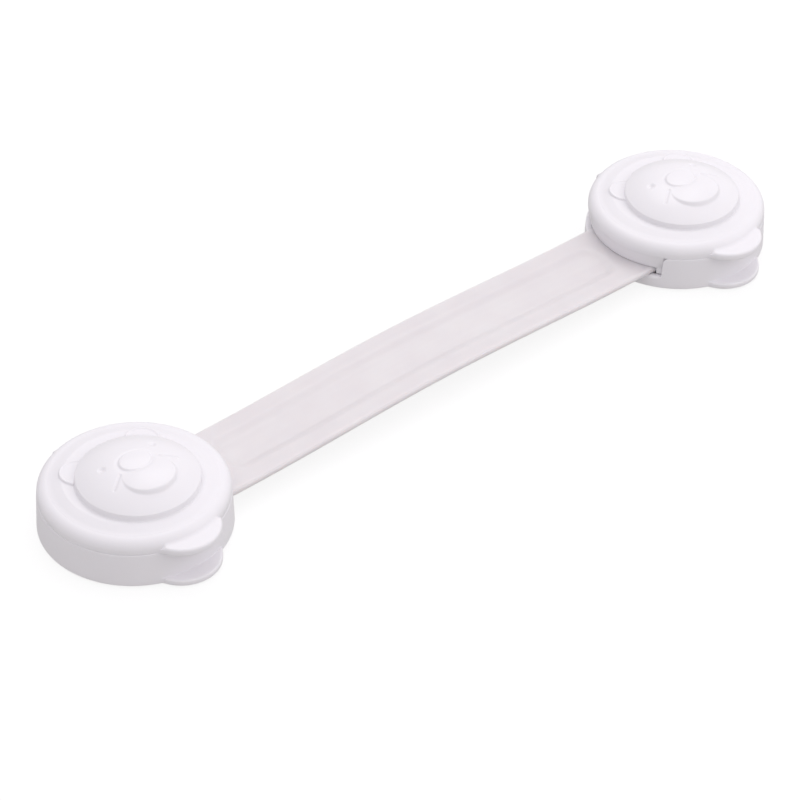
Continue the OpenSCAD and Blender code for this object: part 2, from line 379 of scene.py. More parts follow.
@dataclass(frozen=True)
class FoamTape:
    """Closed-cell foam with adhesive on both faces: small round cells and a slightly yellow tone."""

    name: str = "adhesive_foam"
    cell_tone: Colour = (0.62, 0.60, 0.54)
    skin_tone: Colour = (0.83, 0.82, 0.77)
    roughness: float = 0.62
    roughness_drift: float = 0.2
    cell_size: float = 0.45
    cell_depth: float = 0.06
    cell_tones: tuple[float, float] = (0.25, 1.1)
    cloud_size: float = 5.0
    cloud_tone: float = 0.5

    def make(self) -> bpy.types.Material:
        """Makes the material.

        Returns:
            The material.
        """
        canvas, made = Canvas.material(self.name)
        point = canvas.place()
        scale = {"Vector": point, "Scale": 1.0 / (self.cell_size * MM)}
        cells = canvas.add("ShaderNodeTexVoronoi", {"feature": "F1"}, scale, "Distance")
        clouds = canvas.noise(point, self.cloud_size, 3.0)
        least, rise = self.cell_tones
        skin = cells * rise + least + clouds * self.cloud_tone
        canvas.surface("ShaderNodeBsdfPrincipled", {
            "Base Color": canvas.mix(skin, self.cell_tone, self.skin_tone),
            "Roughness": self.roughness + clouds * self.roughness_drift,
            "Normal": canvas.relief(cells * self.cell_depth),
        })
        return made


@dataclass(frozen=True)
class DrawnSteel:
    """Drawn steel wire: fine lines along its length."""

    name: str = "drawn_steel"
    dark_tone: Colour = (0.42, 0.43, 0.45)
    bright_tone: Colour = (0.66, 0.67, 0.69)
    roughness: float = 0.3
    roughness_drift: float = 0.25
    line_size: float = 0.08
    line_stretch: float = 0.02
    line_depth: float = 0.004

    def make(self) -> bpy.types.Material:
        """Makes the material.

        Returns:
            The material.
        """
        canvas, made = Canvas.material(self.name)
        lines = canvas.noise(canvas.place((self.line_stretch, 1.0, 1.0)), self.line_size, 3.0)
        canvas.surface("ShaderNodeBsdfPrincipled", {
            "Base Color": canvas.mix(lines + 0.5, self.dark_tone, self.bright_tone),
            "Roughness": self.roughness + lines * self.roughness_drift,
            "Normal": canvas.relief(lines * self.line_depth),
            "Metallic": 1.0,
        })
        return made


class Skin:
    """Gathers the surfaces of one piece and makes its mesh."""

    MERGE = 0.002
    SHARP_ANGLE = math.radians(38.0)

    def __init__(self) -> None:
        """Starts with no surface."""
        self.points: list[np.ndarray] = []
        self.faces: list[np.ndarray] = []
        self.count = 0

    def grid(self, points: np.ndarray, round_rows: bool = False, round_columns: bool = False) -> None:
        """Adds a surface of four-sided faces.

        Args:
            points: Its points, as rows, columns and coordinates.
            round_rows: Whether the last row meets the first.
            round_columns: Whether the last column meets the first.
        """
        rows, columns, _ = points.shape
        index = np.arange(rows * columns).reshape(rows, columns) + self.count
        if round_rows:
            index = np.vstack([index, index[:1]])
        if round_columns:
            index = np.hstack([index, index[:, :1]])
        corners = [index[:-1, :-1], index[:-1, 1:], index[1:, 1:], index[1:, :-1]]
        self.faces.append(np.stack(corners, axis=-1).reshape(-1, 4))
        self.points.append(points.reshape(-1, 3))
        self.count += rows * columns

    def make(self, name: str, place: "HeadPlan | None" = None) -> bpy.types.Object:
        """Makes the object.

        Args:
            name: The piece's name.
            place: The head that the points belong to, or None where they are in the lock's own frame.

        Returns:
            The object, at the origin, with closed, outward-facing surfaces.
        """
        points = np.concatenate(self.points)
        points = (place.stand(points) if place else points) * MM
        mesh = bpy.data.meshes.new(name)
        mesh.from_pydata(points.tolist(), [], np.concatenate(self.faces).tolist())
        work = bmesh.new()
        work.from_mesh(mesh)
        bmesh.ops.remove_doubles(work, verts=work.verts, dist=self.MERGE * MM)
        bmesh.ops.dissolve_degenerate(work, edges=work.edges, dist=self.MERGE * MM / 4.0)
        bmesh.ops.recalc_face_normals(work, faces=work.faces)
        work.to_mesh(mesh)
        work.free()
        mesh.shade_smooth()
        mesh.set_sharp_from_angle(angle=self.SHARP_ANGLE)
        made = bpy.data.objects.new(name, mesh)
        bpy.context.scene.collection.objects.link(made)
        return made


class Loft:
    """Rings of points about a head's axis, each joined to the one before, with one column per angle."""

    def __init__(self, angles: np.ndarray) -> None:
        """Keeps the columns' angles."""
        self.angles = angles
        self.rings: list[tuple[np.ndarray, np.ndarray]] = []

    def ring(self, radius: Numbers, height: Numbers) -> None:
        """Adds one ring."""
        shape = self.angles.shape
        self.rings.append((np.broadcast_to(radius, shape) * 1.0, np.broadcast_to(height, shape) * 1.0))

    def line(self, radius: Numbers, height: Numbers, steps: int = 1) -> None:
        """Goes straight on to a ring, with others evenly between.

        Args:
            radius: The last ring's radius.
            height: The last ring's height.
            steps: How many rings are added.
        """
        start_r, start_z = self.rings[-1]
        for share in np.linspace(0.0, 1.0, steps + 1)[1:]:
            self.ring(start_r + (radius - start_r) * share, start_z + (height - start_z) * share)

    def arc(self, radius: Numbers, height: Numbers, bend: Numbers, turn: tuple, steps: int) -> None:
        """Adds rings along an arc.

        Args:
            radius: Radius of the arc's middle.
            height: Height of the arc's middle.
            bend: The arc's own radius.
            turn: First and last angle of the arc, in degrees from straight outwards.
            steps: How many rings follow the first.
        """
        first, last = np.radians(turn[0]), np.radians(turn[1])
        for share in np.linspace(0.0, 1.0, steps + 1):
            angle = first + (last - first) * share
            self.ring(radius + bend * np.cos(angle), height + bend * np.sin(angle))

    def sweep(self, elbow: tuple, end: tuple, steps: int) -> None:
        """Adds rings along a smooth bend from the last ring.

        Args:
            elbow: Radius and height that the bend heads for.
            end: Radius and height that it reaches.
            steps: How many rings are added.
        """
        start = self.rings[-1]
        for t in np.linspace(0.0, 1.0, steps + 1)[1:]:
            before, between, after = (1 - t) ** 2, 2 * t * (1 - t), t * t
            self.ring(*(before * a + between * b + after * c for a, b, c in zip(start, elbow, end)))

    def points(self, slots: "list[Slot] | None" = None) -> np.ndarray:
        """The points of all rings.

        Args:
            slots: Openings whose sides run straight across the wall.

        Returns:
            Rows, columns and coordinates.
        """
        rows = []
        for radius, height in self.rings:
            angle = self.angles.copy()
            for slot in slots or []:
                angle += slot.shift(self.angles, radius)
            rows.append(np.stack([radius * np.cos(angle), radius * np.sin(angle), height], axis=-1))
        return np.stack(rows)


@dataclass(frozen=True)
class Slot:
    """An opening in a round wall, whose two sides are parallel planes."""

    heading: float
    half: float
    outer_r: float
    inner_r: float
    spread: float = math.radians(10.0)

    @property
    def edge(self) -> float:
        """Half of the angle that it takes from the outside of the wall, in radians."""
        return math.asin(self.half / self.outer_r)

    def inside(self, angles: np.ndarray) -> np.ndarray:
        """How far each column lies inside the opening, in millimetres, less than zero outside it."""
        offset = np.abs((angles - self.heading + math.pi) % math.tau - math.pi)
        return self.half - self.outer_r * np.sin(np.minimum(offset, math.pi / 2.0))

    def shift(self, angles: np.ndarray, radius: np.ndarray) -> np.ndarray:
        """Turn of each column that keeps the opening's sides flat.

        Args:
            angles: The columns' angles.
            radius: The ring's radius at each column.

        Returns:
            The turn in radians.
        """
        offset = (angles - self.heading + math.pi) % math.tau - math.pi
        near = np.clip(np.abs(np.abs(offset) - self.edge) / self.spread, 0.0, 1.0)
        turn = np.arcsin(self.half / np.clip(radius, self.inner_r, self.outer_r)) - self.edge
        return np.sign(offset) * turn * np.cos(near * math.pi / 2.0) ** 2


@dataclass(frozen=True)
class HeadPlan:
    """Where one head stands, and the sizes that its pieces share."""

    side: Side
    axis_x: float
    floor_z: float
    base_r: float
    lid_r: float
    tab_reach: float
    face_r: float
    face_y: float
    face_foot: float
    hinge_y: float
    hinge_z: float
    pin_r: float
    pin_half: float
    strap_foot: float
    seam: float = 0.15
    tab_r: float = 8.5
    tab_blend: float = 0.3
    mouth_turn: float = math.radians(11.4)

    @classmethod
    def measure(cls, side: Side) -> "HeadPlan":
        """Takes a head's place and main sizes from its nodes and its hinge.

        Args:
            side: Which head it is.

        Returns:
            The head's plan.
        """
        def box(name: str) -> np.ndarray:
            """Lowest and highest corner of a node."""
            return np.array(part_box(name)) / MM

        base, lid = box(f"{side.word}_base"), box(f"{side.word}_lid")
        face, pin = box(f"{side.word}_bear_face"), box(f"{side.word}_hinge_pin")
        hinge = next(j for j in frame["joints"] if j["name"] == f"{side.word}_lid_hinge")
        floor_z = base[0][2]
        return cls(
            side=side,
            axis_x=(base[0][0] + base[1][0]) / 2.0,
            floor_z=floor_z,
            base_r=(base[1][0] - base[0][0]) / 2.0,
            lid_r=(lid[1][0] - lid[0][0]) / 2.0,
            tab_reach=-base[0][1],
            face_r=(face[1][0] - face[0][0]) / 2.0,
            face_y=(face[0][1] + face[1][1]) / 2.0,
            face_foot=face[0][2] - floor_z,
            hinge_y=hinge["pos_m"][1] / MM,
            hinge_z=hinge["pos_m"][2] / MM - floor_z,
            pin_r=(pin[1][1] - pin[0][1]) / 2.0,
            pin_half=(pin[1][0] - pin[0][0]) / 2.0,
            strap_foot=box("strap")[0][2] - floor_z,
        )

    @property
    def base_top(self) -> float:
        """Height of the base's rim."""
        return self.hinge_z - self.seam / 2.0

    @property
    def lid_foot(self) -> float:
        """Height of the lid's lower edge."""
        return self.hinge_z + self.seam / 2.0

    def stand(self, points: np.ndarray) -> np.ndarray:
        """Puts a head's points into the lock's frame. The right head is a mirror image of the left one."""
        return points * (self.side.value, 1.0, 1.0) + (self.axis_x, 0.0, self.floor_z)

    @property
    def word(self) -> str:
        """The side's name as the pieces spell it."""
        return self.side.word

    def tab_outline(self, angles: np.ndarray, body_r: Numbers) -> np.ndarray:
        """Radius of the outline of the head's body with its crescent tab.

        Args:
            angles: The columns' angles.
            body_r: Radius of the round body.

        Returns:
            The radius at each angle.
        """
        off = angles + math.pi / 2.0
        middle = self.tab_reach - self.tab_r
        chord = self.tab_r**2 - (middle * np.sin(off)) ** 2
        reach = middle * np.cos(off) + np.sqrt(np.maximum(chord, 0.0))
        tab = np.where((chord > 0.0) & (np.cos(off) > 0.0), reach, 0.0)
        return smooth_max(tab, body_r, self.tab_blend)


@dataclass
class Knuckle:
    """A hinge knuckle: a short tube round the pin, with a block that joins it to its shell."""

    plan: HeadPlan
    bore_r: float
    outer_r: float
    block_y: tuple[float, float]
    block_z: tuple[float, float]
    chamfer: float = 0.3
    step: float = math.radians(7.5)

    def outline(self) -> tuple[np.ndarray, np.ndarray]:
        """The knuckle seen along the pin.

        Returns:
            The angles round the pin, and the radius at each.
        """
        corners = [math.atan2(z, y) for y in self.block_y for z in self.block_z if y or z]
        angles = np.unique(np.round(np.append(np.arange(-math.pi, math.pi, self.step), corners), 6))
        across, up = np.cos(angles), np.sin(angles)
        with np.errstate(divide="ignore", invalid="ignore"):
            to_y = np.where(across < 0.0, self.block_y[0] / across, self.block_y[1] / across)
            to_z = np.where(up < 0.0, self.block_z[0] / up, self.block_z[1] / up)
        block = np.minimum(np.nan_to_num(to_y, nan=np.inf), np.nan_to_num(to_z, nan=np.inf))
        return angles, np.maximum(self.outer_r, block)

    def build(self, skin: Skin, start: float, end: float) -> None:
        """Adds the knuckle.

        Args:
            skin: The piece that it belongs to.
            start: Where it starts along the pin.
            end: Where it ends along the pin.
        """
        angles, outer = self.outline()
        rows = [(start, self.bore_r), (start, outer - self.chamfer), (start + self.chamfer, outer),
                (end - self.chamfer, outer), (end, outer - self.chamfer), (end, self.bore_r)]
        points = []
        for x, radius in rows:
            radius = np.broadcast_to(radius, angles.shape)
            y = self.plan.hinge_y + radius * np.cos(angles)
            z = self.plan.hinge_z + radius * np.sin(angles)
            points.append(np.stack([np.full_like(y, x), y, z], axis=-1))
        skin.grid(np.stack(points), round_rows=True, round_columns=True)


@dataclass
class Base:
    """The lower half of a head: a cup with a crescent tab, the strap's post and its half of the hinge."""

    plan: HeadPlan
    wall: float = 1.8
    draft: float = 0.3
    floor: float = 1.6
    edge: float = 0.5
    ease: float = 0.12
    tab_t: float = 1.5
    tab_edge: float = 0.5
    tab_ramp: float = 1.3
    tab_fillet: float = 0.15
    rim_edge: float = 0.25
    sill_edge: float = 0.5
    sill_ramp: float = 0.4
    mouth_half: float = 15.6
    mouth_spread: float = math.radians(16.0)
    mouth_round: float = 0.7
    post_r: float = 3.4
    post_stand: float = 2.8
    collar_w: float = 2.0
    seat_outer_r: float = 17.0
    seat_w: float = 1.6
    pad_r: float = 17.6
    pad_seat: float = 0.5
    rib: float = 0.3
    rib_half: float = math.radians(21.0)
    rib_ramp: float = 0.02
    knuckle_r: float = 1.6
    knuckle_in: float = 2.9
    knuckle_out: float = 6.4
    rear_flat: float = 1.1
    slot_room: float = 0.35
    block_foot: float = 5.1
    bore_gap: float = 0.02
    seat_gap: float = 0.1
    columns: tuple[float, float] = (1.25, 0.2)
    windows: tuple[tuple[float, float], ...] = ((-112.0, 3.0), (-68.0, 3.0), (74.1, 1.0), (105.9, 1.0))
    side_columns: float = 0.1
    mouth_window: float = 1.6
    hinge_window: float = 0.6

    @property
    def sill(self) -> float:
        """Height of the sill that the strap lies on."""
        return self.plan.strap_foot - self.seat_gap

    @property
    def mouth(self) -> Slot:
        """The opening that the strap goes into."""
        plan, inner = self.plan, self.plan.base_r - self.wall
        return Slot(plan.mouth_turn, self.mouth_half, plan.base_r, inner, self.mouth_spread)

    @property
    def hinge_slot(self) -> Slot:
        """The gap in the rim that the lid's knuckle turns in."""
        return Slot(math.pi / 2.0, self.knuckle_in, self.plan.base_r, self.plan.base_r - self.wall)

    def rim_height(self, angles: np.ndarray) -> np.ndarray:
        """Height of the rim: full round the wall, low in the strap's mouth and behind the lid's knuckle.

        Args:
            angles: The columns' angles.

        Returns:
            The height at each column.
        """
        top, low = self.plan.base_top, self.sill
        depth = self.mouth.inside(angles)
        bend = self.mouth_round
        corner = bend - np.sqrt(np.maximum(bend**2 - np.maximum(bend - np.abs(depth), 0.0) ** 2, 0.0))
        rim = np.where(depth > 0.0, low + corner, top - corner)
        slot_z = self.plan.hinge_z - self.knuckle_r - self.slot_room
        return np.where(self.hinge_slot.inside(angles) > 0.0, slot_z, rim)

    def angles(self) -> np.ndarray:
        """The columns, closer together at the tab's ends, the mouth's sides and the hinge.

        Returns:
            The angles in radians.
        """
        turn, mouth = math.degrees(self.plan.mouth_turn), math.degrees(self.mouth.edge)
        slot = math.degrees(self.hinge_slot.edge)
        sides = [(side, self.mouth_window) for side in (turn + mouth, turn - mouth)]
        ends = [(end, self.hinge_window) for end in (90.0 - slot, 90.0 + slot)]
        coarse = column_angles(*self.columns, self.windows)
        fine = column_angles(WHOLE_TURN, self.side_columns, sides)
        hinge = column_angles(WHOLE_TURN, self.side_columns, ends)
        return np.unique(np.round(np.concatenate([coarse, fine, hinge]), 7))

    def wall_r(self, height: Numbers) -> np.ndarray:
        """Outer radius of the wall, which narrows a little towards the seam."""
        rise = np.clip((height - self.edge) / (self.plan.base_top - self.edge), 0.0, 1.0)
        return self.plan.base_r - self.draft * rise

    def cup(self) -> Loft:
        """The cup, from the middle of the pad's seat round the wall to the middle of the post.

        Returns:
            Its rings.
        """
        plan, loft = self.plan, Loft(self.angles())
        angles = loft.angles
        outer = plan.tab_outline(angles, plan.base_r)
        tab = smooth_step(0.0, self.tab_ramp, outer - plan.base_r)
        edge = self.edge + (self.tab_edge - self.edge) * tab
        rim = self.rim_height(angles)
        in_mouth = smooth_step(-self.sill_ramp, self.sill_ramp, self.mouth.inside(angles))
        bevel = self.rim_edge + (self.sill_edge - self.rim_edge) * in_mouth
        under_rim = rim - bevel
        flat = (plan.hinge_y + self.rear_flat) / np.maximum(np.sin(angles), LEAST_SINE)
        inner = plan.base_r - self.wall

        loft.ring(0.0, self.pad_seat)
        loft.line(self.pad_r, self.pad_seat, 4)
        loft.line(self.pad_r, self.ease)
        loft.line(self.pad_r + self.ease, 0.0)
        loft.line(outer - edge, 0.0, 6)
        loft.arc(outer - edge, edge, edge, (-90.0, 0.0), 6)
        foot_r, tab_edge = self.wall_r(self.tab_t), self.tab_edge * tab
        upper = plan.tab_outline(angles, foot_r)
        loft.arc(upper - tab_edge, self.tab_t - tab_edge, tab_edge, (0.0, 90.0), 6)
        fillet = self.tab_fillet * tab
        loft.line(foot_r + fillet, self.tab_t, 6)
        loft.sweep((foot_r, self.tab_t), (self.wall_r(self.tab_t + fillet), self.tab_t + fillet), 5)
        low = np.minimum(self.sill, under_rim)
        loft.line(self.wall_r(low), low, 3)
        loft.line(np.minimum(self.wall_r(low), flat), low)
        rim_r = np.minimum(self.wall_r(under_rim), flat)
        loft.line(rim_r, under_rim, 8)
        loft.arc(rim_r - bevel, under_rim, bevel, (0.0, 90.0), 4)
        loft.line(inner + bevel, rim, 3)
        loft.arc(inner + bevel, under_rim, bevel, (90.0, 180.0), 4)
        rib = self.rib * smooth_step(0.0, self.rib_ramp, self.rib_half - np.abs(angles + math.pi / 2.0))
        rib_z = plan.base_top - 2.0 * self.rib
        for height, stand in ((rib_z, 0.0), (rib_z - self.rib, 1.0), (rib_z - 2.0 * self.rib, 0.0)):
            loft.line(inner - rib * stand, np.minimum(height, under_rim))
        loft.line(inner, np.minimum(self.floor + self.ease, under_rim), 4)
        loft.line(inner - self.ease, self.floor)
        self.seats(loft)
        return loft

    def seats(self, loft: Loft) -> None:
        """Adds the floor of the cup, the ring and collar that carry the strap, and the post.

        Args:
            loft: The cup so far.
        """
        ease = self.ease
        rings = ((self.seat_outer_r, self.seat_outer_r - self.seat_w), (self.post_r + self.collar_w, 0.0))
        for outer, inner in rings:
            loft.line(outer, self.floor, 3)
            loft.line(outer, self.sill - ease)
            loft.line(outer - ease, self.sill)
            if inner:
                loft.line(inner + ease, self.sill)
                loft.line(inner, self.sill - ease)
                loft.line(inner, self.floor)
        top = self.sill + self.post_stand
        loft.line(self.post_r + ease, self.sill)
        loft.line(self.post_r, self.sill + ease)
        loft.line(self.post_r, top - self.edge, 2)
        loft.arc(self.post_r - self.edge, top - self.edge, self.edge, (0.0, 90.0), 5)
        loft.line(0.0, top, 3)

    def build(self) -> bpy.types.Object:
        """Builds the base of this head.

        Returns:
            The piece.
        """
        plan, skin = self.plan, Skin()
        skin.grid(self.cup().points([self.mouth, self.hinge_slot]), round_columns=True)
        knuckle = Knuckle(plan, plan.pin_r + self.bore_gap, self.knuckle_r,
                          (-self.knuckle_r, self.rear_flat), (self.block_foot - plan.hinge_z, 0.0))
        knuckle.build(skin, self.knuckle_in, self.knuckle_out)
        knuckle.build(skin, -self.knuckle_out, -self.knuckle_in)
        return skin.make(f"{plan.word}_base_shell", plan)

    def dress(self, piece: bpy.types.Object, finish: bpy.types.Material) -> None:
        """Gives the base its finish and its place in the lock."""
        attach(piece, finish, f"{self.plan.word}_head", f"{self.plan.word}_base")


@dataclass
class Lid:
    """The upper half of a head: a cap with a round shoulder, two ears, a tab and a flap over the strap."""

    plan: HeadPlan
    face_seat: float = 0.8
    face_lap: float = 0.35
    ring_rise: float = 0.9
    ring_sweep: float = 1.1
    flat_r: float = 15.2
    valley_r: float = 17.8
    valley_round: float = 0.3
    shoulder: float = 2.4
    wall: float = 1.6
    top_t: float = 1.8
    lower_edge: float = 0.08
    seam_fill: float = 0.13
    tab_drop: float = 0.27
    tab_room: float = 0.3
    tab_edge: float = 0.6
    tab_ramp: float = 1.4
    tab_bend: float = 33.0
    tab_fillet: float = 0.567
    seat_edge: float = 0.15
    ear_at: tuple[float, float] = (8.5, 8.25)
    ear_r: float = 4.0
    ear_stand: float = 0.45
    ear_edge: float = 0.3
    ear_rim: float = 0.5
    ear_dish: float = 0.15
    ear_slope: float = 4.0
    ear_fillet: float = 0.16
    recess_gap: float = 0.3
    knuckle_r: float = 1.6
    knuckle_half: float = 2.6
    bore_gap: float = 0.05
    lip_t: float = 1.2
    lip_r: float = 18.55
    lip_depth: float = 1.6
    lip_half: float = math.radians(42.0)
    lip_ramp: float = 0.03
    bead: float = 0.15
    clamp_r: float = 5.8
    clamp_w: float = 1.6
    clamp_gap: float = 0.05
    strap_t: float = 1.6
    flap_r: float = 19.8
    flap_t: float = 1.6
    flap_half: float = 15.3
    flap_edge: float = 0.15
    tooth_r: tuple[float, float] = (18.75, 19.75)
    tooth_span: tuple[float, float] = (13.9, 15.25)
    tooth_gap: float = 0.15
    columns: tuple[float, float] = (1.25, 0.25)
    windows: tuple[tuple[float, float], ...] = ((-113.0, 3.5), (-67.0, 3.5), (-132.0, 1.0), (-48.0, 1.0))
    ear_columns: float = 0.4
    ear_window: float = 21.0
    hinge_columns: float = 0.15
    hinge_window: float = 0.9

    @property
    def crown(self) -> float:
        """Height of the ring beside the face."""
        return self.plan.face_foot + self.face_seat

    @property
    def clamp_foot(self) -> float:
        """Height of the clamp ring's and the flap's lower edge, just above the strap."""
        return self.plan.strap_foot + self.strap_t + self.clamp_gap

    @property
    def shoulder_z(self) -> float:
        """Height where the round shoulder starts."""
        return self.crown - self.ring_rise

    @property
    def under(self) -> float:
        """Height of the lid's underside."""
        return self.shoulder_z - self.top_t

    @property
    def recess(self) -> Slot:
        """The recess at the back that the hinge turns in."""
        plan = self.plan
        half = math.sqrt(plan.lid_r**2 - plan.hinge_y**2) + self.recess_gap
        return Slot(math.pi / 2.0, half, plan.lid_r, plan.lid_r - self.wall)

    def ring_height(self, radius: np.ndarray, angles: np.ndarray) -> np.ndarray:
        """Height of the top ring, with its ears.

        Args:
            radius: Distance from the head's axis.
            angles: The columns' angles.

        Returns:
            The height at each column.
        """
        share = np.maximum(radius - self.flat_r, 0.0) / (self.valley_r - self.flat_r)
        slope = self.crown - self.ring_rise * share**self.ring_sweep
        ring = smooth_max(slope, self.shoulder_z, self.valley_round)
        x, y = np.abs(radius * np.cos(angles)), radius * np.sin(angles)
        away = np.hypot(x - self.ear_at[0], y - self.ear_at[1])
        top = self.crown + self.ear_stand
        over = np.clip(away - self.ear_r + self.ear_edge, 0.0, self.ear_edge)
        ear = top - self.ear_edge + np.sqrt(self.ear_edge**2 - over**2)
        rim = self.ear_r - self.ear_edge - self.ear_rim
        ear = ear - self.ear_dish * (1.0 - smooth_step(rim, rim + self.ear_rim, away))
        ear = ear - self.ear_slope * np.maximum(away - self.ear_r, 0.0)
        return smooth_max(ring, ear, self.ear_fillet)

    def angles(self) -> np.ndarray:
        """The columns, closer together at the tab's ends, round the ears and at the hinge recess.

        Returns:
            The angles in radians.
        """
        recess = math.degrees(self.recess.edge)
        ear = math.degrees(math.atan2(self.ear_at[1], self.ear_at[0]))
        both = [(middle, self.ear_window) for middle in (ear, 180.0 - ear)]
        ends = [(end, self.hinge_window) for end in (90.0 - recess, 90.0 + recess)]
        coarse = column_angles(*self.columns, self.windows)
        ears = column_angles(WHOLE_TURN, self.ear_columns, both)
        hinge = column_angles(WHOLE_TURN, self.hinge_columns, ends)
        return np.unique(np.round(np.concatenate([coarse, ears, hinge]), 7))

    def seat_r(self, angles: np.ndarray) -> np.ndarray:
        """Radius of the face's seat, which lies nearer the tab than the head's axis does.

        Args:
            angles: The columns' angles.

        Returns:
            The radius at each column.
        """
        face_y = self.plan.face_y
        reach = (self.plan.face_r - self.face_lap) ** 2 - (face_y * np.cos(angles)) ** 2
        return face_y * np.sin(angles) + np.sqrt(reach)

    def cap(self) -> Loft:
        """The cap, from the middle of the face's seat over the shoulder to the middle of the underside.

        Returns:
            Its rings.
        """
        plan, loft = self.plan, Loft(self.angles())
        angles = loft.angles
        behind = self.recess.inside(angles) > 0.0
        brow = plan.hinge_z + self.knuckle_r + self.recess_gap
        foot = np.where(behind, brow, plan.lid_foot - self.seam_fill)
        middle_r, middle_z = plan.lid_r - self.shoulder, self.shoulder_z - self.shoulder

        outline = plan.tab_outline(angles, plan.lid_r)
        tab = smooth_step(0.0, self.tab_ramp, outline - plan.lid_r)
        brow_bend = math.degrees(math.asin((brow + self.lower_edge - middle_z) / self.shoulder))
        bend = np.where(behind, brow_bend, self.tab_bend * tab)
        outer = np.where(behind, middle_r + self.shoulder * np.cos(np.radians(bend)), outline)

        seat_r = self.seat_r(angles)
        loft.ring(0.0, plan.face_foot)
        loft.line(seat_r, plan.face_foot, 4)
        loft.line(seat_r, self.ring_height(seat_r, angles) - self.seat_edge)
        start = seat_r + self.seat_edge / 2.0
        for share in np.linspace(0.0, 1.0, 32, endpoint=False):
            radius = start + (self.flat_r - start) * share
            loft.ring(radius, self.ring_height(radius, angles))
        for radius in np.linspace(self.flat_r, middle_r, 28):
            loft.ring(radius, self.ring_height(np.full_like(angles, radius), angles))
        loft.arc(middle_r, middle_z, self.shoulder, (np.full_like(bend, 90.0), bend), 16)
        last_r, last_z = loft.rings[-1]
        slope = np.radians(bend)
        run = self.tab_fillet * tab
        elbow = (last_r + run * np.sin(slope), last_z - run * np.cos(slope))
        loft.sweep(elbow, (elbow[0] + run, elbow[1]), 6)
        edge = self.tab_edge * tab
        top = loft.rings[-1][1]
        loft.line(outer - edge, top, 8)
        loft.arc(outer - edge, top - edge, edge, (90.0, 0.0), 6)
        edge = self.lower_edge + (self.tab_edge - self.lower_edge) * tab
        tab_foot = foot - self.tab_drop * tab
        loft.line(outer, tab_foot + edge, 2)
        loft.arc(outer - edge, tab_foot + edge, edge, (0.0, -90.0), 6)
        loft.line(np.minimum(plan.base_r + self.tab_room, outer - edge), tab_foot, 4)
        loft.line(loft.rings[-1][0], foot)
        self.inside(loft, foot, behind)
        return loft

    def inside(self, loft: Loft, foot: np.ndarray, behind: np.ndarray) -> None:
        """Adds the inside of the cap.

        Args:
            loft: The cap so far.
            foot: Height of its lower edge at each column.
            behind: Which columns lie in the hinge recess.
        """
        plan, angles = self.plan, loft.angles
        turned = angles + self.recess.shift(angles, np.full_like(angles, plan.lid_r - self.wall))
        recess_y = plan.hinge_y - self.knuckle_r - self.recess_gap
        wall_r = np.where(behind, recess_y / np.maximum(np.sin(turned), LEAST_SINE), plan.lid_r - self.wall)
        loft.line(wall_r, foot, 3)
        loft.line(wall_r, self.under)

        lip_r = np.minimum(self.lip_r, wall_r - self.seat_edge)
        lip = smooth_step(0.0, self.lip_ramp, self.lip_half - np.abs(angles + math.pi / 2.0))
        tip = self.under - (self.under - plan.base_top + self.lip_depth) * lip
        bead = self.bead * lip
        loft.line(lip_r, self.under)
        loft.line(lip_r, np.minimum(self.under, tip + 2.0 * self.bead))
        loft.line(lip_r + bead, tip + bead)
        loft.line(lip_r, tip)
        loft.line(lip_r - self.lip_t, tip)
        loft.line(lip_r - self.lip_t, self.under)

        ease, clamp_foot = self.seat_edge, self.clamp_foot
        clamp_in = self.clamp_r - self.clamp_w
        loft.line(self.clamp_r, self.under, 4)
        loft.line(self.clamp_r, clamp_foot + ease)
        loft.line(self.clamp_r - ease, clamp_foot)
        loft.line(clamp_in + ease, clamp_foot)
        loft.line(clamp_in, clamp_foot + ease)
        loft.line(clamp_in, self.under)
        loft.line(0.0, self.under, 2)

    def flap_section(self, inset: float) -> np.ndarray:
        """The flap's section, from its inner top round its foot to where it goes into the lid's side.

        Args:
            inset: How far the section is drawn in.

        Returns:
            The radius and height of each point.
        """
        plan, bend = self.plan, self.flap_edge
        low, top = self.clamp_foot + inset, self.under + self.seat_edge
        inner, outer, root = self.flap_r - self.flap_t + inset, self.flap_r - inset, plan.lid_r - inset
        turns = np.radians(np.linspace(-90.0, 0.0, 6))
        foot = [(outer - bend + bend * math.cos(a), low + bend + bend * math.sin(a)) for a in turns]
        sunk = root - self.wall / 2.0
        return np.array([(inner, top), (inner, low), *foot, (root, plan.lid_foot),
                         (sunk, plan.lid_foot + self.wall / 4.0), (sunk, top)])

    def tooth(self, side: float) -> np.ndarray:
        """A tooth beside the strap, which closes the mouth's corner under the flap.

        Args:
            side: 1 for the end of the flap nearer the hinge, and -1 for the other.

        Returns:
            Its sections, from one end to the other.
        """
        inner, outer = self.tooth_r
        low, top = self.plan.strap_foot + self.tooth_gap, self.under + self.seat_edge
        radius, height = np.array([(inner, top), (inner, low), (outer, low), (outer, top)]).T
        rows = []
        for across in np.linspace(*self.tooth_span, 5):
            angle = self.plan.mouth_turn + side * np.arcsin(across / radius)
            rows.append(np.stack([radius * np.cos(angle), radius * np.sin(angle), height], axis=-1))
        caps = [np.broadcast_to(row.mean(axis=0), row.shape) for row in (rows[0], rows[-1])]
        return np.stack([caps[0], *rows, caps[1]])

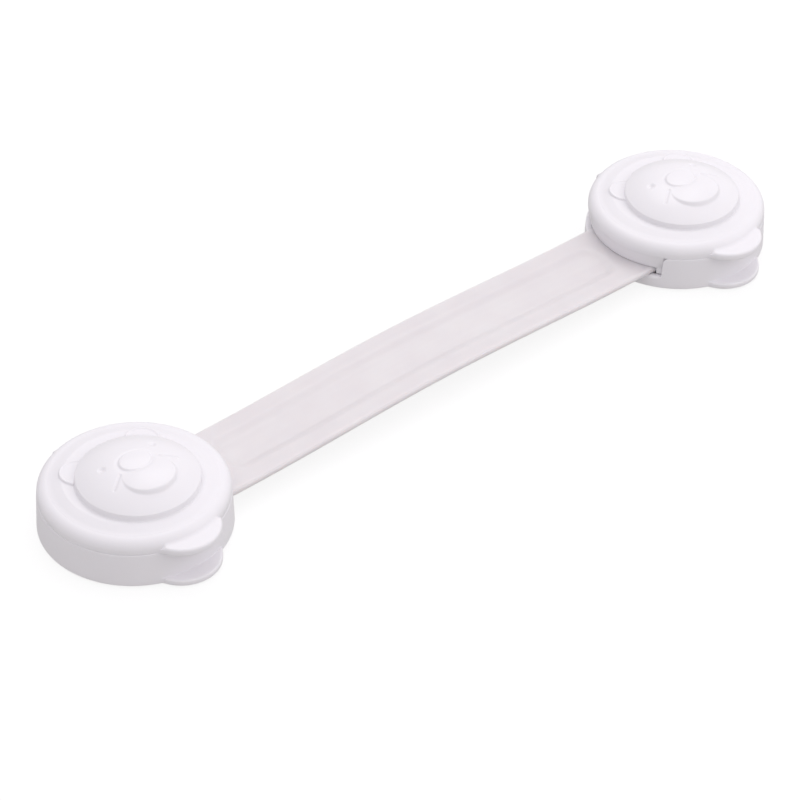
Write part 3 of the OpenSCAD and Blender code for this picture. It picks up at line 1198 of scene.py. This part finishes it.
    def flap(self) -> np.ndarray:
        """The flap that closes the strap's mouth.

        Returns:
            Its sections, from one rounded end to the other.
        """
        bend, reach = self.flap_edge, self.flap_half
        turns = np.radians(np.linspace(0.0, 90.0, 7))
        ends = [(reach - bend + bend * math.sin(a), bend * (1.0 - math.cos(a))) for a in turns]
        middle = [(across, 0.0) for across in np.linspace(bend - reach, reach - bend, 49)[1:-1]]
        rows = []
        for across, inset in [(-a, i) for a, i in reversed(ends)] + middle + ends:
            radius, height = self.flap_section(inset).T
            angle = self.plan.mouth_turn + np.arcsin(across / radius)
            rows.append(np.stack([radius * np.cos(angle), radius * np.sin(angle), height], axis=-1))
        caps = [np.broadcast_to(row.mean(axis=0), row.shape) for row in (rows[0], rows[-1])]
        return np.stack([caps[0], *rows, caps[1]])

    def build(self) -> bpy.types.Object:
        """Builds the lid of this head.

        Returns:
            The piece.
        """
        plan, skin = self.plan, Skin()
        skin.grid(self.cap().points([self.recess]), round_columns=True)
        skin.grid(self.flap(), round_columns=True)
        for side in (1.0, -1.0):
            skin.grid(self.tooth(side), round_columns=True)
        web = (0.0, self.knuckle_r + self.recess_gap + self.seat_edge)
        knuckle = Knuckle(plan, plan.pin_r + self.bore_gap, self.knuckle_r, (-self.knuckle_r, 0.0), web)
        knuckle.build(skin, -self.knuckle_half, self.knuckle_half)
        return skin.make(f"{plan.word}_lid_shell", plan)

    def dress(self, piece: bpy.types.Object, finish: bpy.types.Material) -> None:
        """Gives the lid its finish and its place in the lock."""
        attach(piece, finish, f"{self.plan.word}_cover", f"{self.plan.word}_lid")


@dataclass
class BearFace:
    """The raised face: a dome on a steep edge, a muzzle, a nose, two small eyes and the ends of a smile."""

    plan: HeadPlan
    seat: float = 0.8
    rise: float = 4.7
    step: float = 1.1
    power: float = 2.6
    edge_slope: float = 6.0
    edge_soft: float = 0.5
    foot_flare: float = 0.25
    muzzle_at: float = -3.85
    muzzle_half: tuple[float, float] = (5.9, 5.1)
    muzzle_stand: float = 0.3
    muzzle_curve: float = 21.6
    nose_at: float = 0.8
    nose_half: tuple[float, float] = (3.6, 2.9)
    nose_stand: float = 0.05
    nose_curve: float = 26.0
    nose_moat: float = 0.14
    moat_share: float = 1.35
    side_slope: float = 2.0
    edge_round: float = 0.3
    foot_fillet: float = 0.25
    smile_from: tuple[float, float] = (8.3, -2.95)
    smile_to: tuple[float, float] = (5.1, -0.75)
    smile_half: float = 0.5
    smile_depth: float = 0.22
    eye_at: tuple[float, float] = (6.6, 3.55)
    eye_r: float = 1.1
    eye_depth: float = 0.4
    top_share: float = 0.93
    rings: int = 104
    side_rings: int = 48
    columns: int = 320

    @property
    def crown(self) -> float:
        """Height of the lid's top round the face."""
        return self.plan.face_foot + self.seat

    def boss(self, x: np.ndarray, y: np.ndarray, half: tuple, top: float, curve: float) -> np.ndarray:
        """Height of a low oval boss with steep sides.

        Args:
            x: Distance from its middle, across the face.
            y: Distance from its middle, along the face.
            half: Its half-width and half-height.
            top: Height of its middle.
            curve: Radius of its round top.

        Returns:
            The height at each point.
        """
        mean = (half[0] + half[1]) / 2.0
        away = np.hypot(x / half[0], y / half[1]) * mean
        crown = top - curve + np.sqrt(np.maximum(curve**2 - away**2, 0.0))
        brink = top - curve + math.sqrt(curve**2 - mean**2)
        return smooth_min(crown, brink - (away - mean) * self.side_slope, self.edge_round)

    def dome(self, away: np.ndarray) -> np.ndarray:
        """Height of the plain dome above the lid's top: a cap on a steep edge.

        Args:
            away: Distance from the dome's middle.

        Returns:
            The height there.
        """
        share = away / self.plan.face_r
        cap = self.step + (self.rise - self.step) * (1.0 - share**self.power)
        return smooth_min(cap, (self.plan.face_r - away) * self.edge_slope, self.edge_soft)

    def smile(self, x: np.ndarray, y: np.ndarray) -> np.ndarray:
        """Depth of the two short strokes at the ends of the smile.

        Args:
            x: Across the face.
            y: From the muzzle towards the ears.

        Returns:
            The depth at each point.
        """
        start, end = np.array(self.smile_from), np.array(self.smile_to)
        run = end - start
        across, along = np.abs(x) - start[0], y - start[1]
        share = np.clip((across * run[0] + along * run[1]) / (run @ run), 0.0, 1.0)
        away = np.hypot(across - share * run[0], along - share * run[1])
        return self.smile_depth * (1.0 - smooth_step(0.0, self.smile_half, away))

    def height(self, x: np.ndarray, y: np.ndarray) -> np.ndarray:
        """Height of the face.

        Args:
            x: Across the face.
            y: From the muzzle towards the ears.

        Returns:
            The height at each point.
        """
        face = self.crown + self.dome(np.hypot(x, y))
        muzzle_top = self.crown + self.rise + self.muzzle_stand
        nose_top = muzzle_top + self.nose_stand
        muzzle = self.boss(x, y - self.muzzle_at, self.muzzle_half, muzzle_top, self.muzzle_curve)
        nose = self.boss(x, y - self.nose_at, self.nose_half, nose_top, self.nose_curve)
        moat = np.hypot(x / self.nose_half[0], (y - self.nose_at) / self.nose_half[1])
        face = smooth_max(face, muzzle, self.foot_fillet)
        face = face - self.nose_moat * (1.0 - smooth_step(1.0, self.moat_share, moat))
        face = smooth_max(face, nose, self.foot_fillet)
        away = np.hypot(np.abs(x) - self.eye_at[0], y - self.eye_at[1])
        eye = self.eye_depth * (1.0 - smooth_step(0.0, self.eye_r, away))
        return face - eye - self.smile(x, y)

    def sides(self, loft: Loft) -> None:
        """Adds the steep edge of the dome, which flares out a little at its foot.

        Args:
            loft: The face so far.
        """
        face_r = self.plan.face_r
        for away in np.linspace(self.top_share * face_r, face_r, self.side_rings)[1:]:
            height = float(self.dome(away))
            hollow = max(1.0 - height / self.foot_flare, 0.0)
            loft.ring(away + self.foot_flare * (1.0 - math.sqrt(1.0 - hollow**2)), self.crown + height)

    def build(self) -> bpy.types.Object:
        """Builds the face of this head.

        Returns:
            The piece.
        """
        plan, skin = self.plan, Skin()
        loft = Loft(np.linspace(-math.pi, math.pi, self.columns, endpoint=False))
        for radius in np.linspace(0.0, self.top_share * plan.face_r, self.rings):
            x, y = radius * np.cos(loft.angles), radius * np.sin(loft.angles)
            loft.ring(radius, self.height(x, y))
        self.sides(loft)
        loft.line(plan.face_r, self.crown - self.foot_flare)
        loft.line(plan.face_r, plan.face_foot, 2)
        loft.line(0.0, plan.face_foot, 4)
        skin.grid(loft.points() + (0.0, plan.face_y, 0.0), round_columns=True)
        return skin.make(f"{plan.word}_bear_face_insert", plan)

    def dress(self, piece: bpy.types.Object, finish: bpy.types.Material) -> None:
        """Gives the face its finish and its place in the lock."""
        attach(piece, finish, f"{self.plan.word}_cover", f"{self.plan.word}_bear_face")


@dataclass
class HingePin:
    """The steel pin that a lid turns on."""

    plan: HeadPlan
    chamfer: float = 0.18
    dish: float = 0.05
    columns: int = 48

    def build(self) -> bpy.types.Object:
        """Builds the pin of this head.

        Returns:
            The piece.
        """
        plan, skin = self.plan, Skin()
        angles = np.linspace(0.0, math.tau, self.columns, endpoint=False)
        half, radius = plan.pin_half, plan.pin_r
        right = [(half - self.dish, 0.0), (half - self.dish / 2.0, radius / 2.0),
                 (half, radius - self.chamfer), (half - self.chamfer, radius),
                 (half / 2.0, radius), (0.0, radius)]
        rows = right + [(-x, r) for x, r in reversed(right[:-1])]
        points = [np.stack([np.full_like(angles, x), plan.hinge_y + r * np.cos(angles),
                            plan.hinge_z + r * np.sin(angles)], axis=-1) for x, r in rows]
        skin.grid(np.stack(points), round_columns=True)
        return skin.make(f"{plan.word}_hinge_wire", plan)

    def dress(self, piece: bpy.types.Object, finish: bpy.types.Material) -> None:
        """Gives the pin its finish and its place in the lock."""
        attach(piece, finish, f"{self.plan.word}_head", f"{self.plan.word}_hinge_pin")


@dataclass
class AdhesivePad:
    """The foam disc under a base, with a die-cut edge that bulges a little where it shows."""

    plan: HeadPlan
    bulge: float = 0.06
    edge: float = 0.1
    columns: int = 160

    def build(self) -> bpy.types.Object:
        """Builds the pad of this head.

        Returns:
            The piece.
        """
        plan, skin = self.plan, Skin()
        low, high = (np.array(corner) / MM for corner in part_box(f"{plan.side.word}_adhesive_pad"))
        foot, top = low[2] - plan.floor_z, high[2] - plan.floor_z
        radius = (high[0] - low[0]) / 2.0 - self.bulge
        loft = Loft(np.linspace(-math.pi, math.pi, self.columns, endpoint=False))
        loft.ring(0.0, foot)
        loft.line(radius - self.edge, foot, 8)
        loft.arc(radius - self.edge, foot + self.edge, self.edge, (-90.0, 0.0), 4)
        loft.sweep((radius + 2.0 * self.bulge, foot / 2.0), (radius, 0.0), 6)
        loft.line(radius, top - self.edge, 2)
        loft.arc(radius - self.edge, top - self.edge, self.edge, (0.0, 90.0), 4)
        loft.line(0.0, top, 8)
        skin.grid(loft.points(), round_columns=True)
        return skin.make(f"{plan.word}_foam_pad", plan)

    def dress(self, piece: bpy.types.Object, finish: bpy.types.Material) -> None:
        """Gives the pad its finish and its place in the lock."""
        attach(piece, finish, f"{self.plan.word}_head", f"{self.plan.word}_adhesive_pad")


@dataclass
class Strap:
    """The flexible strap: a bowed strip with a groove along its top and a round end over each post."""

    left: HeadPlan
    right: HeadPlan
    half_w: float = 10.3
    thick: float = 1.6
    side_edge: float = 0.7
    fillet: float = 4.0
    hole_r: float = 3.5
    hole_edge: float = 0.2
    groove_half: float = 5.0
    groove_depth: float = 0.6
    groove_r: float = 3.5
    groove_end: float = 2.5
    groove_bank: float = 1.3
    bend_half: float = 11.0
    end_run: float = 1.5
    end_step: float = 0.25
    middle_rows: int = 48
    paddle_rows: int = 14

    @property
    def span(self) -> float:
        """Distance between the heads' axes."""
        return self.right.axis_x - self.left.axis_x

    @property
    def paddle_r(self) -> float:
        """Radius of a round end."""
        low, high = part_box("strap")
        return (high.y - low.y) / 2.0 / MM

    @property
    def bow(self) -> float:
        """Height of the bow at mid-span."""
        low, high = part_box("strap")
        return (high.z - low.z) / MM - self.thick

    def lift(self, x: np.ndarray) -> np.ndarray:
        """Height of the underside along the strap."""
        run = np.clip((x - self.left.base_r) / (self.span - 2.0 * self.left.base_r), 0.0, 1.0)
        return self.left.strap_foot + self.bow * (1.0 - np.cos(math.tau * run)) / 2.0

    def groove(self, x: np.ndarray, y: np.ndarray) -> np.ndarray:
        """Depth of the groove, a long hollow with round corners and sloping banks.

        Args:
            x: Along the strap, from the left head's axis.
            y: Across the strap, from its middle.

        Returns:
            The depth at each point.
        """
        half_l = self.span / 2.0 - self.left.base_r - self.groove_end
        out_x = np.abs(x - self.span / 2.0) - half_l + self.groove_r
        out_y = np.abs(y) - self.groove_half + self.groove_r
        beyond = np.hypot(np.maximum(out_x, 0.0), np.maximum(out_y, 0.0))
        away = beyond + np.minimum(np.maximum(out_x, out_y), 0.0) - self.groove_r
        return self.groove_depth * (1.0 - smooth_step(-self.groove_bank, self.groove_bank, away))

    def top(self, x: np.ndarray, y: np.ndarray) -> np.ndarray:
        """Height of the upper face."""
        return self.lift(x) + self.thick - self.groove(x, y)

    def across(self) -> np.ndarray:
        """Places across the strip, closer together at the groove's banks.

        Returns:
            The places, from edge to edge.
        """
        bank = np.linspace(self.groove_half - self.groove_bank, self.groove_half + self.groove_bank, 13)
        inner = np.linspace(0.0, bank[0], 15)[:-1]
        outer = np.linspace(bank[-1], self.half_w - self.side_edge, 7)[1:]
        right = np.concatenate([inner, bank, outer])
        return np.concatenate([-right[:0:-1], right])

    def along(self) -> np.ndarray:
        """Places along the strip, closer together at the groove's ends.

        Returns:
            The places, from neck to neck.
        """
        start = self.left.base_r
        ends = np.arange(start, start + self.groove_end + self.groove_r + self.end_run, self.end_step)
        middle = np.linspace(ends[-1], self.span / 2.0, self.middle_rows)[1:]
        left = np.concatenate([ends, middle])
        return np.concatenate([left, self.span - left[-2::-1]])

    def paddle_edge(self) -> tuple[np.ndarray, np.ndarray]:
        """Outline of a round end, from one corner of the neck round to the other.

        Returns:
            The outline's points, and the direction that faces out of the strap at each.
        """
        reach, rise = self.paddle_r + self.fillet, self.half_w + self.fillet
        corner_x = math.sqrt(reach**2 - rise**2)
        touch = math.atan2(rise, corner_x)
        points = [(x, self.half_w) for x in np.linspace(self.left.base_r, corner_x, 6)[:-1]]
        facing = [(0.0, 1.0)] * len(points)
        for a in np.linspace(-math.pi / 2.0, touch - math.pi, 10)[:-1]:
            points.append((corner_x + self.fillet * math.cos(a), rise + self.fillet * math.sin(a)))
            facing.append((-math.cos(a), -math.sin(a)))
        half_turn = [(math.cos(a), math.sin(a)) for a in np.linspace(touch, math.pi, 72)]
        points += [(self.paddle_r * c, self.paddle_r * s) for c, s in half_turn]
        facing += half_turn
        mirror = np.array((1.0, -1.0))
        outline, out = np.array(points), np.array(facing)
        return (np.concatenate([outline, (outline * mirror)[-2::-1]]),
                np.concatenate([out, (out * mirror)[-2::-1]]))

    def side_rows(self) -> list[tuple[float, float]]:
        """The rounded side, from the upper face to the lower one.

        Returns:
            How far each row stands out from the faces' edge, and its share of the way down.
        """
        turns, edge = np.radians(np.linspace(90.0, 0.0, 6)), self.side_edge
        upper = [(edge * math.cos(a), edge * (1.0 - math.sin(a)) / self.thick) for a in turns]
        return upper + [(out, 1.0 - down) for out, down in reversed(upper)]

    def paddle(self, skin: Skin, mirrored: bool) -> None:
        """Adds one round end with its hole.

        Args:
            skin: The strap so far.
            mirrored: Whether it is the right end.
        """
        outline, facing = self.paddle_edge()
        inset = outline - facing * self.side_edge
        neck = np.stack([np.full_like(self.across(), self.left.base_r), self.across()], axis=-1)
        targets = np.concatenate([neck, inset[1:-1]])
        headings = targets / np.linalg.norm(targets, axis=1, keepdims=True)
        foot = self.left.strap_foot
        hole = [(self.hole_r + self.hole_edge, 1.0), (self.hole_r, 1.0 - self.hole_edge / self.thick),
                (self.hole_r, self.hole_edge / self.thick), (self.hole_r + self.hole_edge, 0.0)]
        start = headings * hole[0][0]
        shares = np.linspace(0.0, 1.0, self.paddle_rows)
        flat = [start + (targets - start) * share for share in shares]
        levels = [(p, 1.0) for p in flat[::-1]]
        levels += [(headings * r, h) for r, h in hole[1:3]]
        levels += [(p, 0.0) for p in flat]
        sides = [(inset + facing * out, 1.0 - down) for out, down in self.side_rows()]
        rows, side = ([np.column_stack([p, np.full(len(p), foot + self.thick * h)]) for p, h in group]
                      for group in (levels, sides))
        for points, closed in ((np.stack(rows), True), (np.stack(side), False)):
            if mirrored:
                points = points * (-1.0, 1.0, 1.0) + (self.span, 0.0, 0.0)
            skin.grid(points, round_columns=closed)

    def strip(self, skin: Skin) -> None:
        """Adds the strip between the round ends.

        Args:
            skin: The strap so far.
        """
        across, rows = self.across(), []
        for x in self.along():
            station = np.full_like(across, x)
            top = np.column_stack([station, across, self.top(station, across)])
            under = np.column_stack([station, across, self.lift(station)])
            low = self.lift(x)
            side = np.array([(x, self.half_w - self.side_edge + out, low + self.thick * (1.0 - down))
                             for out, down in self.side_rows()[1:-1]])
            rows.append(np.concatenate([top, side, under[::-1], side[::-1] * (1.0, -1.0, 1.0)]))
        skin.grid(np.stack(rows), round_columns=True)

    def build(self) -> bpy.types.Object:
        """Builds the strap.

        Returns:
            The piece.
        """
        skin = Skin()
        self.paddle(skin, False)
        self.strip(skin)
        self.paddle(skin, True)
        skin.points = [points + (self.left.axis_x, 0.0, self.left.floor_z) for points in skin.points]
        return skin.make("milky_strap")

    def dress(self, piece: bpy.types.Object, finish: bpy.types.Material) -> None:
        """Gives the strap its finish and bakes its place into its mesh.

        Args:
            piece: The strap.
            finish: Its material.
        """
        piece.data.materials.append(finish)
        bend = next(j for j in frame["joints"] if j["name"] == "strap_bend")
        middle, reach = Vector(bend["pos_m"]), Vector((self.bend_half * MM, 0.0, 0.0))
        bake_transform(piece)
        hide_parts("strap")


def attach(piece: bpy.types.Object, finish: bpy.types.Material, body: str, node: str) -> None:
    """Finishes a rigid piece and lets it move with its body.

    Args:
        piece: The piece.
        finish: Its material.
        body: The body that carries it.
        node: The node that it stands for.
    """
    piece.data.materials.append(finish)
    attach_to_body(piece, body)
    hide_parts(node)


@dataclass(frozen=True)
class Softbox:
    """One soft square light that looks at the lock."""

    name: str
    place: tuple[float, float, float]
    size: float
    power: float
    tone: Colour = (1.0, 1.0, 1.0)


@dataclass(frozen=True)
class Studio:
    """A pale floor, soft light and a camera at the angle of a shop picture."""

    azimuth: float = -41.487
    elevation: float = 38.98
    roll: float = 1.03
    distance: float = 771.78
    target: tuple[float, float, float] = (69.44, -5.09, 0.5)
    lens: float = 157.28
    floor_half: float = 2.5
    floor_clear: float = 0.78
    floor_tone: Colour = (0.96, 0.955, 0.96)
    floor_drift: float = 1.01
    floor_cloud: float = 60.0
    board_depth: float = 0.45
    board_light: float = 1.04
    sky_heading: tuple[float, float, float] = (0.42, -0.1, 0.9)
    bright_sky: Colour = (1.09, 1.07, 1.09)
    dim_sky: Colour = (0.46, 0.45, 0.455)
    ground_tone: Colour = (0.455, 0.445, 0.43)
    horizon: float = 0.02
    lights: tuple[Softbox, ...] = (
        Softbox("back_softbox", (0.42, 0.42, 0.80), 0.5, 1.1),
        Softbox("front_softbox", (0.45, -0.40, 0.36), 0.3, 0.4),
    )

    def camera(self) -> None:
        """Makes the camera."""
        azimuth, elevation, roll = (math.radians(a) for a in (self.azimuth, self.elevation, self.roll))
        right = Vector((math.cos(azimuth), math.sin(azimuth), 0.0))
        back = Vector((math.sin(azimuth) * math.cos(elevation), -math.cos(azimuth) * math.cos(elevation),
                       math.sin(elevation)))
        up = back.cross(right)
        tilted = right * math.cos(roll) + up * math.sin(roll)
        upward = up * math.cos(roll) - right * math.sin(roll)
        data = bpy.data.cameras.new("camera")
        data.lens = self.lens
        made = bpy.data.objects.new("camera", data)
        bpy.context.scene.collection.objects.link(made)
        turn = Matrix((tilted, upward, back)).transposed().to_4x4()
        made.matrix_world = Matrix.Translation((Vector(self.target) + back * self.distance) * MM) @ turn
        bpy.context.scene.camera = made

    def softboxes(self) -> None:
        """Makes the lights."""
        middle = Vector(self.target) * MM
        for light in self.lights:
            data = bpy.data.lights.new(light.name, "AREA")
            data.shape = "SQUARE"
            data.size = light.size
            data.energy = light.power
            data.color = light.tone
            made = bpy.data.objects.new(light.name, data)
            bpy.context.scene.collection.objects.link(made)
            made.location = light.place
            made.rotation_euler = (middle - made.location).to_track_quat("-Z", "Y").to_euler()

    def surroundings(self) -> None:
        """Makes the soft sky, brighter towards one side, over a darker ground."""
        world = bpy.data.worlds.new("soft_studio")
        world.use_nodes = True
        bpy.context.scene.world = world
        canvas = Canvas(world.node_tree)
        heading = canvas.add("ShaderNodeTexCoord", {}, {}, "Generated")
        height = canvas.add("ShaderNodeSeparateXYZ", {}, {0: heading}, "Z")
        limits = {"Value": height, "From Min": -self.horizon, "From Max": self.horizon}
        above = canvas.add("ShaderNodeMapRange", {}, limits)
        facing = canvas.add("ShaderNodeVectorMath", {"operation": "DOT_PRODUCT"},
                            {0: heading, 1: Vector(self.sky_heading).normalized()[:]}, "Value")
        sky = canvas.mix(facing * 0.5 + 0.5, self.dim_sky, self.bright_sky)
        light = canvas.add("ShaderNodeBackground", {}, {"Color": canvas.mix(above, self.ground_tone, sky)})
        canvas.add("ShaderNodeOutputWorld", {}, {"Surface": light})

    def sheet(self, name: str, height: float, finish: bpy.types.Material) -> bpy.types.Object:
        """Makes a large flat sheet that belongs to the stage.

        Args:
            name: Its name.
            height: Its height, in metres.
            finish: Its material.

        Returns:
            The sheet.
        """
        half = self.floor_half
        corners = [(x * half, y * half, height) for x, y in ((-1, -1), (1, -1), (1, 1), (-1, 1))]
        mesh = bpy.data.meshes.new(name)
        mesh.from_pydata(corners, [], [(0, 1, 2, 3)])
        mesh.materials.append(finish)
        made = bpy.data.objects.new(name, mesh)
        bpy.context.scene.collection.objects.link(made)
        return made

    def white_board(self) -> None:
        """Makes the white board under the floor, which shows through it but sheds no light on the lock."""
        canvas, finish = Canvas.material("white_board")
        light = canvas.add("ShaderNodeEmission", {}, {"Strength": self.board_light})
        canvas.add("ShaderNodeOutputMaterial", {}, {"Surface": light})
        board = self.sheet("white_board", -self.board_depth, finish)
        board.visible_diffuse = False
        board.visible_glossy = False
        board.visible_shadow = False

    def floor(self) -> None:
        """Makes the floor, a frosted white sheet that lets some of the light below it through."""
        canvas, finish = Canvas.material("frosted_floor")
        clouds = canvas.noise(canvas.place(), self.floor_cloud)
        paler = tuple(min(part * self.floor_drift, 1.0) for part in self.floor_tone)
        colour = canvas.mix(clouds + 0.5, self.floor_tone, paler)
        sheet = canvas.add("ShaderNodeBsdfDiffuse", {}, {"Color": colour})
        clear = canvas.add("ShaderNodeBsdfTransparent", {}, {})
        shader = canvas.add("ShaderNodeMixShader", {}, {0: self.floor_clear, 1: sheet, 2: clear})
        canvas.add("ShaderNodeOutputMaterial", {}, {"Surface": shader})
        self.sheet("floor", 0.0, finish)

    def build(self) -> None:
        """Sets the whole stage."""
        bpy.context.scene.view_settings.view_transform = "Standard"
        self.camera()
        self.softboxes()
        self.surroundings()
        self.white_board()
        self.floor()


def main() -> None:
    """Builds the lock's pieces in order and reports each."""
    logging.basicConfig(level=logging.INFO, format="%(message)s")
    Studio().build()
    shell = MouldedPlastic("satin_white_shell", WHITE, tone_drift=0.012, roughness=0.4,
                           roughness_drift=0.14, grain_depth=0.008, ripple_depth=0.02,
                           gloss_coat=0.0).make()
    polished = MouldedPlastic("polished_white_face", WHITE, tone_drift=0.01, roughness=0.34,
                              roughness_drift=0.08, grain_depth=0.001, ripple_depth=0.01,
                              gloss_coat=0.12).make()
    steel, foam, milky = DrawnSteel().make(), FoamTape().make(), MilkyPlastic().make()
    plans = {side: HeadPlan.measure(side) for side in Side}
    work: list[tuple] = [(Strap(plans[Side.LEFT], plans[Side.RIGHT]), milky)]
    for plan in plans.values():
        work += [(Base(plan), shell), (Lid(plan), shell), (BearFace(plan), polished)]
        work += [(HingePin(plan), steel), (AdhesivePad(plan), foam)]
    for part, finish in work:
        piece = part.build()
        part.dress(piece, finish)
        log.info("%s: %d faces, %s", piece.name, len(piece.data.polygons), finish.name)


if __name__ == "__main__":
    main()
